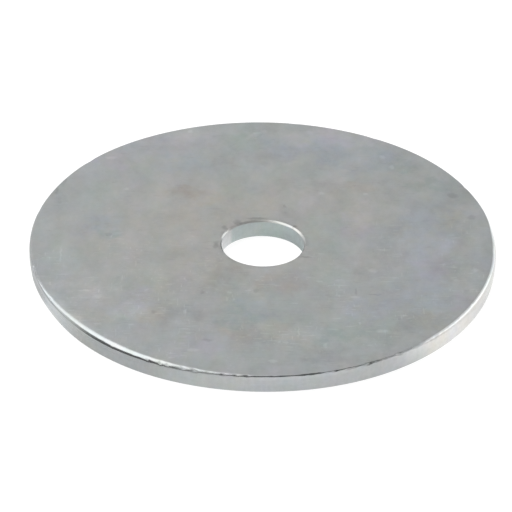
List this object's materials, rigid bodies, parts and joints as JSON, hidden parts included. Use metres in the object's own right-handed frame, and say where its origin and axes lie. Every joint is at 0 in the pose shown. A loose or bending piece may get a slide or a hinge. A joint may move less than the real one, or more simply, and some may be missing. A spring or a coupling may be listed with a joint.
{
  "type": "fender washer",
  "caption": "Wide flat zinc-plated steel washer with a small centre bore, rolled upper edges and sheared walls, spreading a bolt's load over thin sheet.",
  "frame": {"origin": "on the bore's axis at the lower face, the one that rests on the surface", "axes": "+Z along the bore's axis, out of the upper face, which has the rolled edges; +X along the sheet's rolling grain"},
  "size_m": [0.0381, 0.038, 0.0016],
  "materials": {
    "zinc_plated_steel": "clear-passivated zinc plating, satin, faint blue, tan and green bloom"
  },
  "bodies": {
    "root": {"washer": "zinc_plated_steel"}
  },
  "joints": []
}
